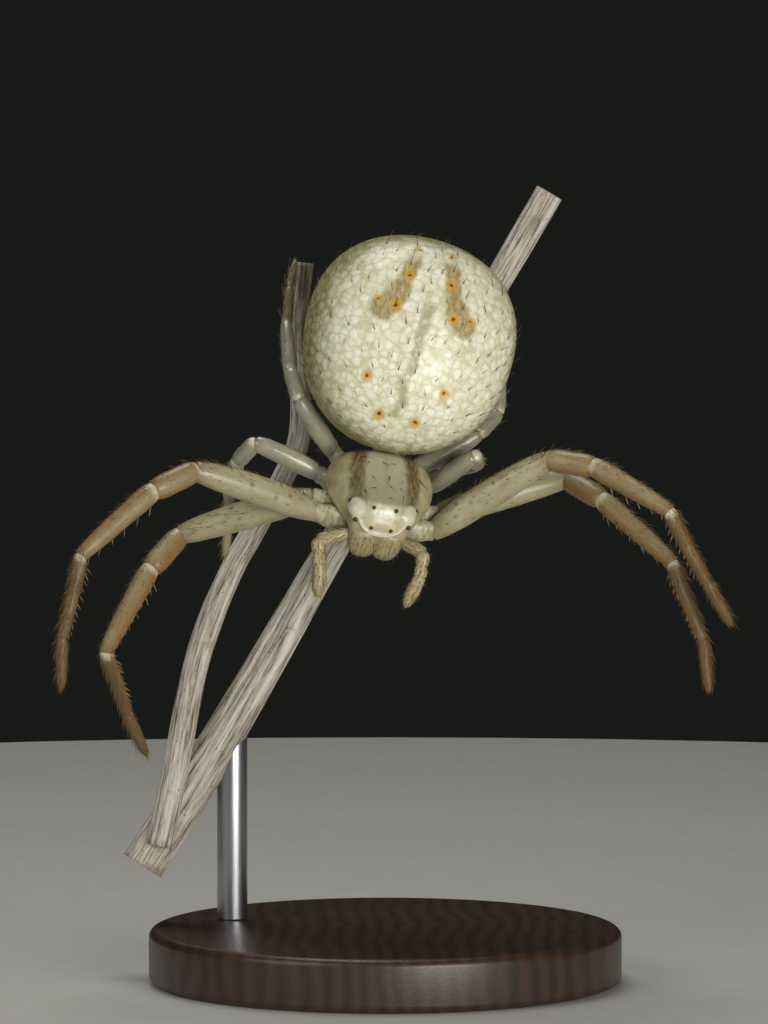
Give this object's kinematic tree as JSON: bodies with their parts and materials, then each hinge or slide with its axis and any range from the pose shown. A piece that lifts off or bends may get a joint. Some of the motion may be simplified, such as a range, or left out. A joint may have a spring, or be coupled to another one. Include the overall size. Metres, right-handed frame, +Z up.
{
  "type": "crab spider model",
  "caption": "Life-size pale crab spider, head down with its front legs spread, gripping a cut length of dry stem that a rod holds over a round base.",
  "frame": {"origin": "middle of the flat underside of the display base", "axes": "+Z up; -Y towards the viewer, who sees the spider's back with its head down; +X to the spider's own left"},
  "size_m": [0.0199, 0.014, 0.0234],
  "materials": {
    "carapace_skin": "waxy translucent olive and brown cuticle",
    "abdomen_skin": "waxy white cuticle with pale rounded cells under it",
    "mouthpart_skin": "waxy tan cuticle with short dark bristles",
    "front_leg_skin": "waxy cream cuticle that turns rusty brown towards the feet",
    "rear_leg_skin": "glossy translucent grey-white cuticle",
    "eye": "glossy black bead",
    "fang": "glossy dark brown",
    "dry_stem": "weathered grey straw with fine grooves",
    "stand_wood": "dark satin wood",
    "stand_metal": "satin steel"
  },
  "bodies": {
    "root": {"carapace": "carapace_skin", "sternum": "carapace_skin", "abdomen": "abdomen_skin", "spinnerets": "mouthpart_skin", "eye_front_middle_left": "eye", "eye_front_middle_right": "eye", "eye_front_side_left": "eye", "eye_front_side_right": "eye", "eye_rear_middle_left": "eye", "eye_rear_middle_right": "eye", "eye_rear_side_left": "eye", "eye_rear_side_right": "eye", "jaw_left": "mouthpart_skin", "jaw_right": "mouthpart_skin", "fang_left": "fang", "fang_right": "fang", "palp_left_upper": "mouthpart_skin", "palp_left_lower": "mouthpart_skin", "palp_right_upper": "mouthpart_skin", "palp_right_lower": "mouthpart_skin", "leg_left_1_hip": "front_leg_skin", "leg_left_1_femur": "front_leg_skin", "leg_left_1_shin": "front_leg_skin", "leg_left_1_foot": "front_leg_skin", "leg_left_2_hip": "front_leg_skin", "leg_left_2_femur": "front_leg_skin", "leg_left_2_shin": "front_leg_skin", "leg_left_2_foot": "front_leg_skin", "leg_left_3_hip": "rear_leg_skin", "leg_left_3_femur": "rear_leg_skin", "leg_left_3_shin": "rear_leg_skin", "leg_left_3_foot": "rear_leg_skin", "leg_left_4_hip": "rear_leg_skin", "leg_left_4_femur": "rear_leg_skin", "leg_left_4_shin": "rear_leg_skin", "leg_left_4_foot": "rear_leg_skin", "leg_right_1_hip": "front_leg_skin", "leg_right_1_femur": "front_leg_skin", "leg_right_1_shin": "front_leg_skin", "leg_right_1_foot": "front_leg_skin", "leg_right_2_hip": "front_leg_skin", "leg_right_2_femur": "front_leg_skin", "leg_right_2_shin": "front_leg_skin", "leg_right_2_foot": "front_leg_skin", "leg_right_3_hip": "rear_leg_skin", "leg_right_3_femur": "rear_leg_skin", "leg_right_3_shin": "rear_leg_skin", "leg_right_3_foot": "rear_leg_skin", "leg_right_4_hip": "rear_leg_skin", "leg_right_4_femur": "rear_leg_skin", "leg_right_4_shin": "rear_leg_skin", "leg_right_4_foot": "rear_leg_skin", "perch_stem": "dry_stem", "perch_twig": "dry_stem", "stand_base": "stand_wood", "stand_rod": "stand_metal"}
  },
  "joints": []
}
